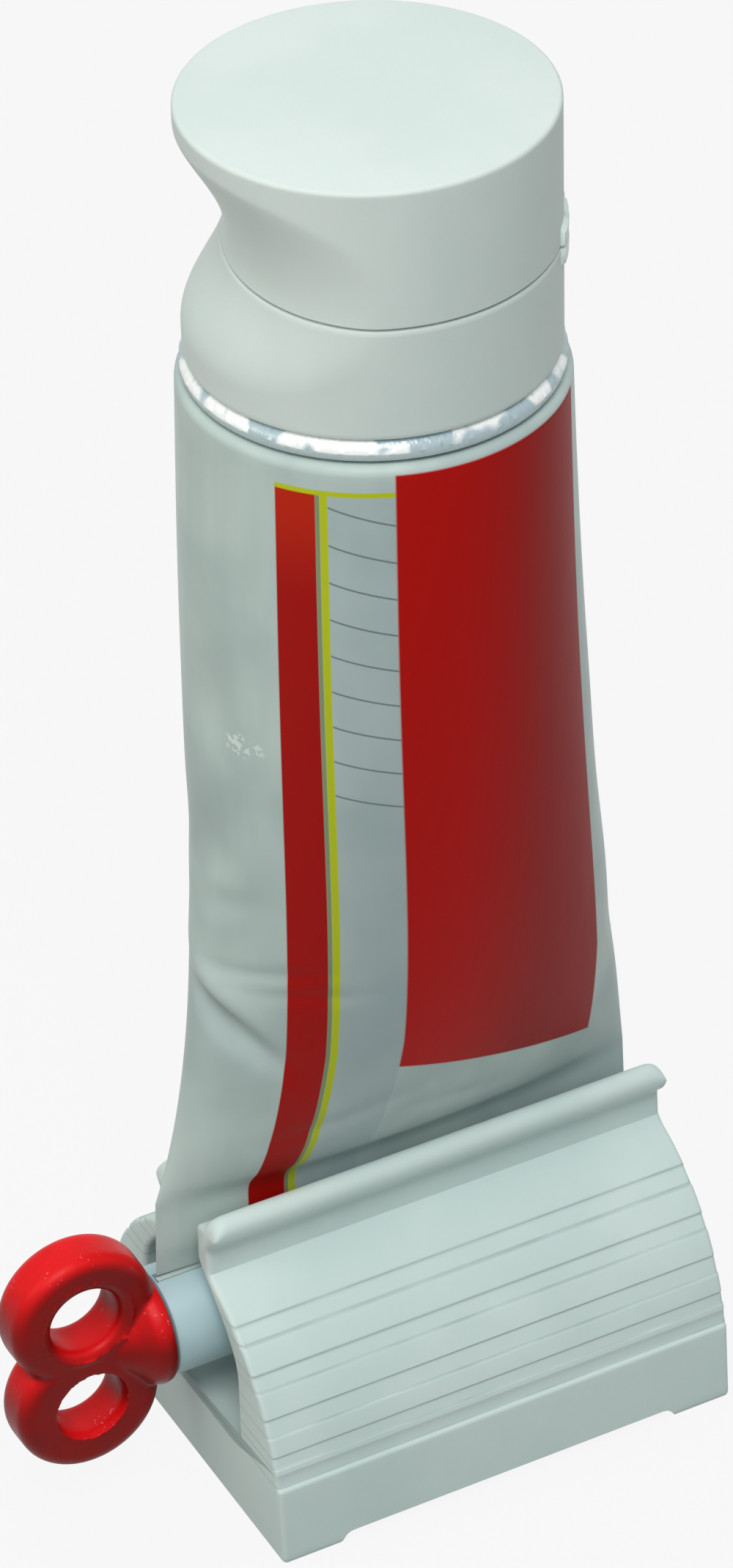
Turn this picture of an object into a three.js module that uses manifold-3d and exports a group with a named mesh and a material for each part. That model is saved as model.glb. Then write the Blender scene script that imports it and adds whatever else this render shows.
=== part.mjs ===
// Toothpaste squeezer: a moulded stand with two lips, a slotted winding key, and the tube that it holds.
// Millimetres, +Z up, +Y away from the viewer, standing on Z = 0. The winding shaft runs along X with its
// handle at -X. Each piece is drawn about the middle of the stand, and the group that holds them all is
// then set so that the origin is the middle of the whole footprint, handle included.

import * as THREE from 'three';
import { mergeVertices } from 'three/addons/utils/BufferGeometryUtils.js';
import Module from 'manifold-3d';

const wasm = await Module();
wasm.setup();

// Stand: the plinth, the barrel vault over the winding channel, and the lips
const STAND_LENGTH = 68;
const STAND_DEPTH = 51;
const PLINTH_HEIGHT = 12;
const PLINTH_DRAFT = 0.5;
const PLINTH_STEP = 0.5;
const VAULT_SPRING_HEIGHT = 6;
const VAULT_RISE = 30.2;
const LIP_TOP = 45;
const LIP_FLARE = 2.4;
const LIP_HEIGHT = 6.6;
const LIP_TIP_RADIUS = 1.7;
const LIP_END_RADIUS = 2.6;
const NECK_GAP = 6.4;
const NECK_WALL = 3;
const CHANNEL_FLOOR = 12;
const CHANNEL_WIDTH = 27;
const CHANNEL_SIDE_TOP = 25;
const SKIN = 2.2;
const GROOVE_DEPTH = 0.4;
const GROOVE_EASE = 0.2;
// each shallow groove across the vault: the heights of its upper and lower edges
const GROOVES = [
  { top: 31.7, bottom: 29.9 },
  { top: 26.9, bottom: 25 },
  { top: 21.8, bottom: 19.5 },
  { top: 16.9, bottom: 15.2 },
];
const FOOT_LENGTH = 9.6;
const FOOT_HEIGHT = 1.7;

// Winding key: the slotted shaft and the wing pressed onto it
const SHAFT_HEIGHT = 25.3;
const SHAFT_RADIUS = 7.4;
const SHAFT_END_INSET = 1;
const SLOT_WIDTH = 1.8;
const SPIGOT_RADIUS = 5;
const SPIGOT_LENGTH = 3.8;
const COLLAR_RADIUS = 8.1;
const COLLAR_LENGTH = 2.6;
const COLLAR_TAPER = 5;
const WING_RING_RADIUS = 10.3;
const WING_HOLE_RADIUS = 5.2;
const WING_RING_SPACING = 14.2;
const WING_THICKNESS = 7.4;
const WING_EDGE_RADIUS = 2;
const WING_HOLE_EDGE = 1.4;
const WING_OVERLAP = 0.6;

// Tube: the sleeve from its round shoulder end to the flat end held in the shaft
const TUBE_X = -3.1;
const TUBE_RADIUS = 24.2;
const TUBE_EXPOSED = 117.9;
const TUBE_TOP_ROUND = 1.2;
const TUBE_BELLY_SHIFT = 1.8;
const TAIL_WIDTH = 70.8;
const TAIL_WIDTH_IN_LIPS = 70;
const TAIL_THICKNESS = 1;
const TAIL_IN_NECK = 4.6;
const TAIL_INSERTED = 13;

// Shoulder, neck and flip-top cap
const SHOULDER_RIM = 2.6;
const SHOULDER_RISE = 5;
const SHOULDER_INSET = 0.5;
const NECK_RADIUS = 9;
const NECK_HEIGHT = 8;
const NECK_BORE_RADIUS = 5;
const NECK_BORE_DEPTH = 10;
const CAP_INSET = 1.1;
const CAP_LIFT = 3.3;
const CAP_BASE_HEIGHT = 15;
const LID_HEIGHT = 18.6;
const CAP_WALL = 1.6;
const CAP_DECK = 1.8;
const CAP_SLEEVE_WALL = 1.4;
const ORIFICE_RADIUS = 3;
const PLUG_CLEARANCE = 0.5;
const PLUG_ENTRY = 1;
const THUMB_AZIMUTH = 155;
const THUMB_DEPTH = 5.5;
const THUMB_HALF_ANGLE = 90;
const THUMB_ABOVE_PARTING = 2.8;
const THUMB_REACH_UP = 13.2;
const THUMB_REACH_DOWN = 14.4;
const HINGE_PAD_WIDTH = 13;
const HINGE_PAD_HEIGHT = 3;
const HINGE_PAD_PROUD = 0.6;

// Fits
const GAP = 0.3;
const CUT = 2;

// Fineness
const ROUND_SEGMENTS = 36;
const DRUM_SEGMENTS = 48;
const SLEEVE_SEGMENTS = 48;
const VAULT_LEVELS = 22;
const EDGE_STEPS = 3;

const white = { color: 0xd3dfdc, roughness: 0.42, metalness: 0 };
const materials = {
  stand: new THREE.MeshStandardMaterial(white),
  cap: new THREE.MeshStandardMaterial({ ...white, color: 0xd6dedb }),
  shaft: new THREE.MeshStandardMaterial({ color: 0xa9bfc4, roughness: 0.4, metalness: 0 }),
  wing: new THREE.MeshStandardMaterial({ color: 0xc8101a, roughness: 0.3, metalness: 0 }),
  sleeve: new THREE.MeshStandardMaterial({ color: 0xc9d6d8, roughness: 0.35, metalness: 0 }),
  foil: new THREE.MeshStandardMaterial({ color: 0xc4ccd0, roughness: 0.25, metalness: 0.8 }),
};

// Solids

function merged(geometry) {
  const bare = geometry.clone();
  bare.deleteAttribute('normal');
  bare.deleteAttribute('uv');
  return mergeVertices(bare, 1e-5);
}

function signedVolume(points, triangles) {
  let volume = 0;
  for (let t = 0; t < triangles.length; t += 3) {
    const [a, b, c] = [0, 1, 2].map((k) => new THREE.Vector3().fromArray(points, 3 * triangles[t + k]));
    volume += a.dot(b.cross(c)) / 6;
  }
  return volume;
}

// A closed geometry as a manifold solid, with its faces turned to point out
function solid(geometry) {
  const closed = merged(geometry);
  const points = Float32Array.from(closed.attributes.position.array);
  const kept = [];
  const index = closed.index.array;
  for (let t = 0; t < index.length; t += 3) {
    const [a, b, c] = [index[t], index[t + 1], index[t + 2]];
    if (a !== b && b !== c && c !== a) kept.push(a, b, c);
  }
  const triangles = signedVolume(points, kept) < 0 ? kept.reverse() : kept;
  const mesh = new wasm.Mesh({ numProp: 3, vertProperties: points, triVerts: Uint32Array.from(triangles) });
  mesh.merge();
  return new wasm.Manifold(mesh);
}

function meshOf(name, manifold, material) {
  const { vertProperties, triVerts } = manifold.getMesh();
  const geometry = new THREE.BufferGeometry();
  geometry.setAttribute('position', new THREE.BufferAttribute(Float32Array.from(vertProperties), 3));
  geometry.setIndex(new THREE.BufferAttribute(Uint32Array.from(triVerts), 1));
  geometry.computeVertexNormals();
  const mesh = new THREE.Mesh(geometry, material);
  mesh.name = name;
  return mesh;
}

const X = new THREE.Vector3(1, 0, 0);
const Y = new THREE.Vector3(0, 1, 0);
const Z = new THREE.Vector3(0, 0, 1);

// An outline in Y and Z, extruded along X between two stations
function extrudeAlongX(outline, from, to) {
  const shape = new THREE.Shape(outline.map(([y, z]) => new THREE.Vector2(y, z)));
  const geometry = new THREE.ExtrudeGeometry(shape, { depth: to - from, bevelEnabled: false });
  geometry.applyMatrix4(new THREE.Matrix4().makeBasis(Y, Z, X));
  geometry.translate(from, 0, 0);
  return solid(geometry);
}

// A shape in X and Z, extruded along Y and centred on the X-Z plane
function extrudeAlongY(shape, depth) {
  const geometry = new THREE.ExtrudeGeometry(shape, { depth, bevelEnabled: false, curveSegments: 12 });
  geometry.translate(0, 0, -depth / 2);
  geometry.applyMatrix4(new THREE.Matrix4().makeBasis(X, Z, Y.clone().negate()));
  return solid(geometry);
}

// A profile of [radius, height] pairs turned about a vertical axis through x
function turned(profile, x = 0) {
  const points = profile.map(([r, z]) => new THREE.Vector2(r, z));
  const geometry = new THREE.LatheGeometry(points, ROUND_SEGMENTS);
  geometry.rotateX(Math.PI / 2);
  geometry.translate(x, 0, 0);
  return solid(geometry);
}

// The same profile turned about the shaft's axis, with the second value measured along X
function turnedAlongX(profile) {
  const points = profile.map(([r, x]) => new THREE.Vector2(r, x));
  const geometry = new THREE.LatheGeometry(points, ROUND_SEGMENTS);
  geometry.rotateZ(-Math.PI / 2);
  geometry.translate(0, 0, SHAFT_HEIGHT);
  return solid(geometry);
}

// A profile of [radius, y] pairs turned about an axis along Y
function turnedAlongY(profile, x, z) {
  const points = profile.map(([r, y]) => new THREE.Vector2(r, y));
  const geometry = new THREE.LatheGeometry(points, ROUND_SEGMENTS);
  geometry.translate(x, 0, z);
  return solid(geometry);
}

function block(x, y, z) {
  const geometry = new THREE.BoxGeometry(x[1] - x[0], y[1] - y[0], z[1] - z[0]);
  geometry.translate((x[0] + x[1]) / 2, (y[0] + y[1]) / 2, (z[0] + z[1]) / 2);
  return solid(geometry);
}

// A closed skin over rings with equal counts of points, each end closed to its ring's middle
function loft(rings) {
  const count = rings[0].length;
  const points = rings.flat();
  const index = [];
  for (let r = 0; r + 1 < rings.length; r++) {
    for (let i = 0; i < count; i++) {
      const a = r * count + i;
      const b = r * count + ((i + 1) % count);
      index.push(a, b, b + count, a, b + count, a + count);
    }
  }
  for (const [ring, first] of [[0, true], [rings.length - 1, false]]) {
    const middle = new THREE.Vector3();
    rings[ring].forEach((p) => middle.addScaledVector(p, 1 / count));
    points.push(middle);
    for (let i = 0; i < count; i++) {
      const a = ring * count + i;
      const b = ring * count + ((i + 1) % count);
      index.push(...(first ? [points.length - 1, b, a] : [points.length - 1, a, b]));
    }
  }
  const geometry = new THREE.BufferGeometry().setFromPoints(points);
  geometry.setIndex(index);
  return solid(geometry);
}

const range = (count) => Array.from({ length: count }, (_, i) => i);

// Stand

const halfLength = STAND_LENGTH / 2;
const halfDepth = STAND_DEPTH / 2;
const vaultHalfDepth = halfDepth - PLINTH_DRAFT;
const neckInner = NECK_GAP / 2;
const neckOuter = neckInner + NECK_WALL;
const neckHeight = LIP_TOP - LIP_HEIGHT;

function vaultDepthAt(z) {
  const rise = (z - VAULT_SPRING_HEIGHT) / VAULT_RISE;
  return vaultHalfDepth * Math.sqrt(Math.max(0, 1 - rise * rise));
}

function vaultHeightAt(y) {
  return VAULT_SPRING_HEIGHT + VAULT_RISE * Math.sqrt(1 - (y / vaultHalfDepth) ** 2);
}

// The outside of one wall from the floor up to the neck, with the plinth's step and the grooves
function outerWall() {
  const grooveAt = (z) => GROOVES.some((g) => z < g.top && z > g.bottom);
  const points = [
    [halfDepth, 0],
    [vaultHalfDepth, PLINTH_HEIGHT],
    [vaultDepthAt(PLINTH_HEIGHT + PLINTH_STEP) - GROOVE_DEPTH, PLINTH_HEIGHT + PLINTH_STEP],
  ];
  const vaultTop = vaultHeightAt(neckOuter);
  const start = PLINTH_HEIGHT + 2 * PLINTH_STEP;
  const levels = range(VAULT_LEVELS + 1).map((i) => start + ((vaultTop - start) * i) / VAULT_LEVELS);
  const edges = GROOVES.flatMap((g) => [g.top, g.bottom]);
  const clear = levels.filter((z) => !edges.some((e) => Math.abs(e - z) < 2 * GROOVE_EASE));
  const heights = [...clear, ...edges].sort((a, b) => a - b);
  for (const z of heights) {
    const y = vaultDepthAt(z);
    const groove = GROOVES.find((g) => g.top === z || g.bottom === z);
    const eased = groove && groove.bottom === z ? z + GROOVE_EASE : z - GROOVE_EASE;
    const within = [vaultDepthAt(eased) - GROOVE_DEPTH, eased];
    if (!groove) points.push([y - (grooveAt(z) ? GROOVE_DEPTH : 0), z]);
    else if (groove.bottom === z) points.push([y, z], within);
    else points.push(within, [y, z]);
  }
  return points;
}

// The flared lip, from the outside of the neck over its rounded top to the inside of the neck
function lip() {
  const tip = LIP_TIP_RADIUS;
  const curve = new THREE.CubicBezierCurve(
    new THREE.Vector2(neckOuter, neckHeight),
    new THREE.Vector2(neckOuter - 0.4, neckHeight + LIP_HEIGHT * 0.35),
    new THREE.Vector2(neckOuter + LIP_FLARE, LIP_TOP - 2.6 * tip),
    new THREE.Vector2(neckOuter + LIP_FLARE, LIP_TOP - tip),
  );
  const outside = curve.getPoints(8).map((p) => [p.x, p.y]);
  const middle = neckOuter + LIP_FLARE - tip;
  const over = range(7).map((i) => {
    const turn = ((i + 1) / 8) * Math.PI * 0.9;
    return [middle + tip * Math.cos(turn), LIP_TOP - tip + tip * Math.sin(turn)];
  });
  return [...outside, ...over, [neckInner, LIP_TOP - LIP_HEIGHT * 0.45]];
}

// The inside of one wall from the neck down to the channel's floor
function innerWall() {
  const side = CHANNEL_WIDTH / 2;
  const curve = new THREE.CubicBezierCurve(
    new THREE.Vector2(neckInner, neckHeight - 1.4),
    new THREE.Vector2(neckInner + 1.2, neckHeight - 4.4),
    new THREE.Vector2(side, CHANNEL_SIDE_TOP + 4.6),
    new THREE.Vector2(side, CHANNEL_SIDE_TOP - 2),
  );
  return [...curve.getPoints(12).map((p) => [p.x, p.y]), [side, CHANNEL_FLOOR]];
}

// The cored underside: it follows the outer wall and the channel at the moulding's wall thickness
function undersideOutline() {
  const side = CHANNEL_WIDTH / 2 + SKIN;
  const top = CHANNEL_SIDE_TOP - 4;
  const half = [
    [halfDepth - SKIN, -CUT],
    [vaultHalfDepth - SKIN, PLINTH_HEIGHT - SKIN],
    [vaultDepthAt((PLINTH_HEIGHT + top) / 2) - SKIN - GROOVE_DEPTH, (PLINTH_HEIGHT + top) / 2],
    [Math.max(vaultDepthAt(top) - SKIN - GROOVE_DEPTH, side + 0.5), top],
    [side, top],
    [side, CHANNEL_FLOOR - SKIN],
  ];
  return [...half, ...half.map(([y, z]) => [-y, z]).reverse()];
}

function standOutline() {
  const half = [...outerWall(), ...lip(), ...innerWall()];
  return [...half, ...half.map(([y, z]) => [-y, z]).reverse()];
}

// The side view that rounds the lips' ends
function roundedSide() {
  const shape = new THREE.Shape();
  shape.moveTo(-halfLength, -CUT);
  shape.lineTo(halfLength, -CUT);
  shape.lineTo(halfLength, LIP_TOP - LIP_END_RADIUS);
  shape.absarc(halfLength - LIP_END_RADIUS, LIP_TOP - LIP_END_RADIUS, LIP_END_RADIUS, 0, Math.PI / 2);
  shape.lineTo(-halfLength + LIP_END_RADIUS, LIP_TOP);
  shape.absarc(-halfLength + LIP_END_RADIUS, LIP_TOP - LIP_END_RADIUS, LIP_END_RADIUS, Math.PI / 2, Math.PI);
  return shape;
}

// The gap under each long side between the feet, with rounded ends
function footNotch() {
  const end = halfLength - FOOT_LENGTH;
  const shape = new THREE.Shape();
  shape.moveTo(-end - FOOT_HEIGHT, -CUT);
  shape.lineTo(end + FOOT_HEIGHT, -CUT);
  shape.lineTo(end + FOOT_HEIGHT, 0);
  shape.bezierCurveTo(end + FOOT_HEIGHT / 3, 0, end + FOOT_HEIGHT / 2, FOOT_HEIGHT, end - FOOT_HEIGHT / 2, FOOT_HEIGHT);
  shape.lineTo(-end + FOOT_HEIGHT / 2, FOOT_HEIGHT);
  shape.bezierCurveTo(-end - FOOT_HEIGHT / 2, FOOT_HEIGHT, -end - FOOT_HEIGHT / 3, 0, -end - FOOT_HEIGHT, 0);
  return shape;
}

function standBody() {
  return extrudeAlongX(standOutline(), -halfLength, halfLength)
    .intersect(extrudeAlongY(roundedSide(), STAND_DEPTH + CUT))
    .subtract(extrudeAlongX(undersideOutline(), -halfLength + SKIN, halfLength - SKIN))
    .subtract(extrudeAlongY(footNotch(), STAND_DEPTH + CUT));
}

// Winding key

const tailStart = TUBE_X - TAIL_WIDTH / 2;
const slotStart = tailStart - GAP;
const shaftStart = slotStart - GAP;
const shaftEnd = halfLength - SHAFT_END_INSET;

function keyShaft() {
  const rod = turnedAlongX([
    [0, shaftStart - SPIGOT_LENGTH],
    [SPIGOT_RADIUS, shaftStart - SPIGOT_LENGTH],
    [SPIGOT_RADIUS, shaftStart],
    [SHAFT_RADIUS, shaftStart],
    [SHAFT_RADIUS, shaftEnd - 0.8],
    [SHAFT_RADIUS - 0.8, shaftEnd],
    [0, shaftEnd],
  ]);
  const slot = block(
    [slotStart, shaftEnd + CUT],
    [-SLOT_WIDTH / 2, SLOT_WIDTH / 2],
    [SHAFT_HEIGHT - SHAFT_RADIUS - CUT, SHAFT_HEIGHT + SHAFT_RADIUS + CUT],
  );
  return rod.subtract(slot);
}

// A disc of the wing, with its rim rounded on both faces
function wingDisc(x, z) {
  const face = WING_THICKNESS / 2;
  const inner = WING_RING_RADIUS - WING_EDGE_RADIUS;
  const rim = range(2 * EDGE_STEPS + 1).map((i) => {
    const turn = (Math.PI * (i - EDGE_STEPS)) / (2 * EDGE_STEPS);
    const side = Math.sign(turn) * (face - WING_EDGE_RADIUS);
    return [inner + WING_EDGE_RADIUS * Math.cos(turn), side + WING_EDGE_RADIUS * Math.sin(turn)];
  });
  return turnedAlongY([[0, -face], ...rim, [0, face]], x, z);
}

// A finger hole through the wing, opening out where it meets each face
function wingHole(x, z) {
  const face = WING_THICKNESS / 2;
  const flare = range(EDGE_STEPS + 1).map((i) => {
    const turn = (Math.PI * i) / (2 * EDGE_STEPS);
    const out = WING_HOLE_EDGE * (1 - Math.sin(turn));
    return [WING_HOLE_RADIUS + out, -face + WING_HOLE_EDGE * (1 - Math.cos(turn))];
  });
  const half = [[0, -COLLAR_RADIUS - CUT], [flare[0][0], -COLLAR_RADIUS - CUT], ...flare];
  return turnedAlongY([...half, ...half.map(([r, y]) => [r, -y]).reverse()], x, z);
}

const collarEnd = shaftStart - GAP;
const wingMiddle = collarEnd - WING_RING_RADIUS - WING_OVERLAP;

function keyWing() {
  const rings = [-1, 1].map((side) => SHAFT_HEIGHT + (side * WING_RING_SPACING) / 2);
  const collar = turnedAlongX([
    [0, collarEnd - COLLAR_LENGTH - COLLAR_TAPER],
    [WING_THICKNESS / 2 - 0.4, collarEnd - COLLAR_LENGTH - COLLAR_TAPER],
    [(COLLAR_RADIUS + WING_THICKNESS / 2) / 2, collarEnd - COLLAR_LENGTH - COLLAR_TAPER / 3],
    [COLLAR_RADIUS - 0.4, collarEnd - COLLAR_LENGTH],
    [COLLAR_RADIUS, collarEnd - COLLAR_LENGTH / 2],
    [COLLAR_RADIUS - 0.3, collarEnd],
    [0, collarEnd],
  ]);
  const socket = turnedAlongX([
    [0, shaftStart - SPIGOT_LENGTH - GAP],
    [SPIGOT_RADIUS + GAP, shaftStart - SPIGOT_LENGTH - GAP],
    [SPIGOT_RADIUS + GAP, shaftStart + CUT],
    [0, shaftStart + CUT],
  ]);
  const whole = rings.reduce((rest, z) => rest.add(wingDisc(wingMiddle, z)), collar);
  return rings.reduce((rest, z) => rest.subtract(wingHole(wingMiddle, z)), whole).subtract(socket);
}

// Tube

const tailBottom = SHAFT_HEIGHT + SHAFT_RADIUS + GAP;
const tubeTop = LIP_TOP + TUBE_EXPOSED;

const smooth = (t) => t * t * (3 - 2 * t);

// The sleeve's half width, half depth and middle, from the flat end up to the round end. Above the lips it
// narrows and fills out steadily, and its belly leans away from the handle.
function sleeveSize(z) {
  if (z <= LIP_TOP) {
    const t = smooth(Math.min(1, Math.max(0, (z - tailBottom) / (neckHeight - tailBottom))));
    const narrowing = (z - tailBottom) / (LIP_TOP - tailBottom);
    return {
      width: (TAIL_WIDTH - (TAIL_WIDTH - TAIL_WIDTH_IN_LIPS) * narrowing) / 2,
      depth: (TAIL_THICKNESS + (TAIL_IN_NECK - TAIL_THICKNESS) * t) / 2,
      middle: TUBE_X,
    };
  }
  const up = (z - LIP_TOP) / TUBE_EXPOSED;
  const flat = 1 - up;
  const spread = TAIL_WIDTH_IN_LIPS / 2 - TUBE_RADIUS;
  const fullness = TUBE_RADIUS - TAIL_IN_NECK / 2;
  return {
    width: TUBE_RADIUS + spread * (0.65 * flat ** 1.2 + 0.35 * flat ** 5),
    depth: TAIL_IN_NECK / 2 + fullness * (1 - flat ** 1.8) ** 0.6,
    middle: TUBE_X + TUBE_BELLY_SHIFT * 9.48 * flat ** 3 * up,
  };
}

// One level of the sleeve: an ellipse that sharpens to two folds where it is flat
function sleeveRing(z, inset = 0) {
  const { width, depth, middle } = sleeveSize(z);
  const sharp = 1 - 0.22 * Math.max(0, 1 - depth / TUBE_RADIUS);
  return range(SLEEVE_SEGMENTS).map((i) => {
    const turn = (2 * Math.PI * i) / SLEEVE_SEGMENTS;
    const across = Math.sign(Math.sin(turn)) * Math.abs(Math.sin(turn)) ** (1 / sharp);
    return new THREE.Vector3(middle + (width - inset) * Math.cos(turn), (depth - inset) * across, z);
  });
}

function tubeSleeve() {
  const low = range(6).map((i) => tailBottom + ((LIP_TOP - tailBottom) * i) / 6);
  const rimBottom = tubeTop - TUBE_TOP_ROUND;
  const high = range(26).map((i) => LIP_TOP + (rimBottom - LIP_TOP) * (i / 25) ** 1.5);
  const rings = [...low, ...high].map((z) => sleeveRing(z));
  rings.push(sleeveRing(tubeTop - 0.3 * TUBE_TOP_ROUND, 0.3 * TUBE_TOP_ROUND));
  rings.push(sleeveRing(tubeTop, TUBE_TOP_ROUND));
  return loft(rings);
}

// The sealed end of the sleeve, which sits in the shaft's slot and turns with it
function tubeTailEnd() {
  const reach = Math.sqrt(SHAFT_RADIUS ** 2 - (TAIL_THICKNESS / 2) ** 2) - GAP;
  return block(
    [tailStart, tailStart + TAIL_WIDTH],
    [-TAIL_THICKNESS / 2, TAIL_THICKNESS / 2],
    [SHAFT_HEIGHT + reach - TAIL_INSERTED, SHAFT_HEIGHT + reach],
  );
}

const shoulderBottom = tubeTop + GAP;
const shoulderTop = shoulderBottom + SHOULDER_RIM + SHOULDER_RISE;
const neckTop = shoulderTop + NECK_HEIGHT;

function tubeShoulder() {
  const rim = TUBE_RADIUS - SHOULDER_INSET;
  return turned([
    [0, shoulderBottom],
    [rim - TUBE_TOP_ROUND, shoulderBottom],
    [rim, shoulderBottom + 0.6],
    [rim, shoulderBottom + 1.6],
    [rim - 1.2, shoulderBottom + SHOULDER_RIM],
    [NECK_RADIUS + 1, shoulderTop],
    [NECK_RADIUS, shoulderTop + 0.6],
    [NECK_RADIUS, neckTop - 0.5],
    [NECK_RADIUS - 0.5, neckTop],
    [NECK_BORE_RADIUS, neckTop],
    [NECK_BORE_RADIUS, neckTop - NECK_BORE_DEPTH],
    [0, neckTop - NECK_BORE_DEPTH],
  ], TUBE_X);
}

// Cap

const thumb = THREE.MathUtils.degToRad(THUMB_AZIMUTH);
const capRadius = TUBE_RADIUS - CAP_INSET;
const capBaseBottom = tubeTop + CAP_LIFT;
const capParting = capBaseBottom + CAP_BASE_HEIGHT;
const capTop = capParting + LID_HEIGHT;

// How far the thumb recess cuts in at an azimuth and a height: it is deepest just above the parting, breaks
// off sharply under the lid's top, and fades out softly down the collar
function thumbDepth(azimuth, z) {
  const turn = Math.abs(THREE.MathUtils.euclideanModulo(azimuth - thumb + Math.PI, 2 * Math.PI) - Math.PI);
  const off = turn / THREE.MathUtils.degToRad(THUMB_HALF_ANGLE);
  if (off >= 1) return 0;
  const rise = z - capParting - THUMB_ABOVE_PARTING;
  const reach = (rise > 0 ? THUMB_REACH_UP : THUMB_REACH_DOWN) * Math.sqrt(1 - off ** 4);
  const up = Math.min(1, Math.abs(rise) / reach);
  const across = Math.cos((off * Math.PI) / 2) ** 1.3;
  return THUMB_DEPTH * across * (1 - up * up) ** (rise > 0 ? 1.35 : 2.2);
}

// A round drum with the thumb recess in its side, or the hollow inside its wall
function drum(bottom, top, inset = 0, levels = 12) {
  const rings = range(levels + 1).map((level) => {
    const z = bottom + ((top - bottom) * level) / levels;
    return range(DRUM_SEGMENTS).map((i) => {
      const azimuth = (2 * Math.PI * i) / DRUM_SEGMENTS;
      const radius = capRadius - inset - thumbDepth(azimuth, z);
      return new THREE.Vector3(TUBE_X + radius * Math.cos(azimuth), radius * Math.sin(azimuth), z);
    });
  });
  return loft(rings);
}

// Half of the hinge's pad, on the side away from the thumb
function hingePad(bottom, top) {
  const out = capRadius + HINGE_PAD_PROUD;
  const geometry = new THREE.BoxGeometry(out - capRadius + CAP_WALL, HINGE_PAD_WIDTH, top - bottom);
  geometry.translate((out + capRadius - CAP_WALL) / 2, 0, (top + bottom) / 2);
  geometry.rotateZ(thumb + Math.PI);
  geometry.translate(TUBE_X, 0, 0);
  return solid(geometry);
}

function capBase() {
  const top = capParting - GAP / 2;
  const deckBottom = top - CAP_DECK;
  const sleeveInner = NECK_RADIUS + GAP;
  const sleeve = turned([
    [sleeveInner, shoulderTop + 1],
    [sleeveInner + CAP_SLEEVE_WALL, shoulderTop + 1],
    [sleeveInner + CAP_SLEEVE_WALL, deckBottom + CUT / 4],
    [sleeveInner, deckBottom + CUT / 4],
    [sleeveInner, shoulderTop + 1],
  ], TUBE_X);
  const orifice = turned([
    [0, deckBottom - CUT],
    [ORIFICE_RADIUS, deckBottom - CUT],
    [ORIFICE_RADIUS, top + CUT],
    [0, top + CUT],
  ], TUBE_X);
  return drum(capBaseBottom, top)
    .add(hingePad(top - HINGE_PAD_HEIGHT, top))
    .subtract(drum(capBaseBottom - CUT, deckBottom, CAP_WALL))
    .add(sleeve)
    .subtract(orifice);
}

function flipLid() {
  const bottom = capParting + GAP / 2;
  const ceiling = capTop - CAP_DECK;
  const plug = ORIFICE_RADIUS - PLUG_CLEARANCE;
  const pin = turned([
    [0, capParting - PLUG_ENTRY],
    [plug - 0.4, capParting - PLUG_ENTRY],
    [plug, capParting - PLUG_ENTRY + 0.4],
    [plug, ceiling + CUT / 4],
    [0, ceiling + CUT / 4],
  ], TUBE_X);
  return drum(bottom, capTop)
    .add(hingePad(bottom, bottom + HINGE_PAD_HEIGHT))
    .subtract(drum(bottom - CUT, ceiling, CAP_WALL))
    .add(pin);
}

const squeezer = new THREE.Group();
squeezer.add(meshOf('stand_body', standBody(), materials.stand));
squeezer.add(meshOf('key_wing', keyWing(), materials.wing));
squeezer.add(meshOf('key_shaft', keyShaft(), materials.shaft));
squeezer.add(meshOf('tube_sleeve', tubeSleeve(), materials.sleeve));
squeezer.add(meshOf('tube_tail_end', tubeTailEnd(), materials.sleeve));
squeezer.add(meshOf('tube_shoulder', tubeShoulder(), materials.foil));
squeezer.add(meshOf('cap_base', capBase(), materials.cap));
squeezer.add(meshOf('flip_lid', flipLid(), materials.cap));

// The footprint runs from the wing's far rim to the stand's other end
squeezer.position.x = -(wingMiddle - WING_RING_RADIUS + halfLength) / 2;

export default squeezer;
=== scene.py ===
# The looks of the toothpaste squeezer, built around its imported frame.
# Shapes are worked out in millimetres, with sizes taken from the frame.
# They are written to the meshes in metres.

import math

import bmesh
import bpy
import numpy as np
from mathutils import Matrix, Vector

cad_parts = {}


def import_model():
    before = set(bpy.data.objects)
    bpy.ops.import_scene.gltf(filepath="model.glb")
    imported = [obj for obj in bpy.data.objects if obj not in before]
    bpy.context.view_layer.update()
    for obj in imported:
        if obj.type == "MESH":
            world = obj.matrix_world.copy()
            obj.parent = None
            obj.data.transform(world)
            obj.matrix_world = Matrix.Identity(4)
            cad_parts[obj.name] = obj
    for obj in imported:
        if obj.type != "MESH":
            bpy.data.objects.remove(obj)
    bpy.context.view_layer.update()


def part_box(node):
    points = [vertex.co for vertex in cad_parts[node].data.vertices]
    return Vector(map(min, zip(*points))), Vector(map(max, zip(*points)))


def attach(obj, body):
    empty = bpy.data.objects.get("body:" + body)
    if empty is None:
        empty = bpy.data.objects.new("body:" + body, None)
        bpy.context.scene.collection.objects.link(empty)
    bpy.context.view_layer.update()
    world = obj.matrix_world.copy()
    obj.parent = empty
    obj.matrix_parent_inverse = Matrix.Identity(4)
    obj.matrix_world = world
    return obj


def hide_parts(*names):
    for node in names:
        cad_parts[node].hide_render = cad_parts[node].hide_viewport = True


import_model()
MM = 0.001
WELD = 0.002
GAP = 0.3


def corners(node):
    """A node's lowest and highest corner, in millimetres."""
    low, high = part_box(node)
    return np.array(low) / MM, np.array(high) / MM


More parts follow.
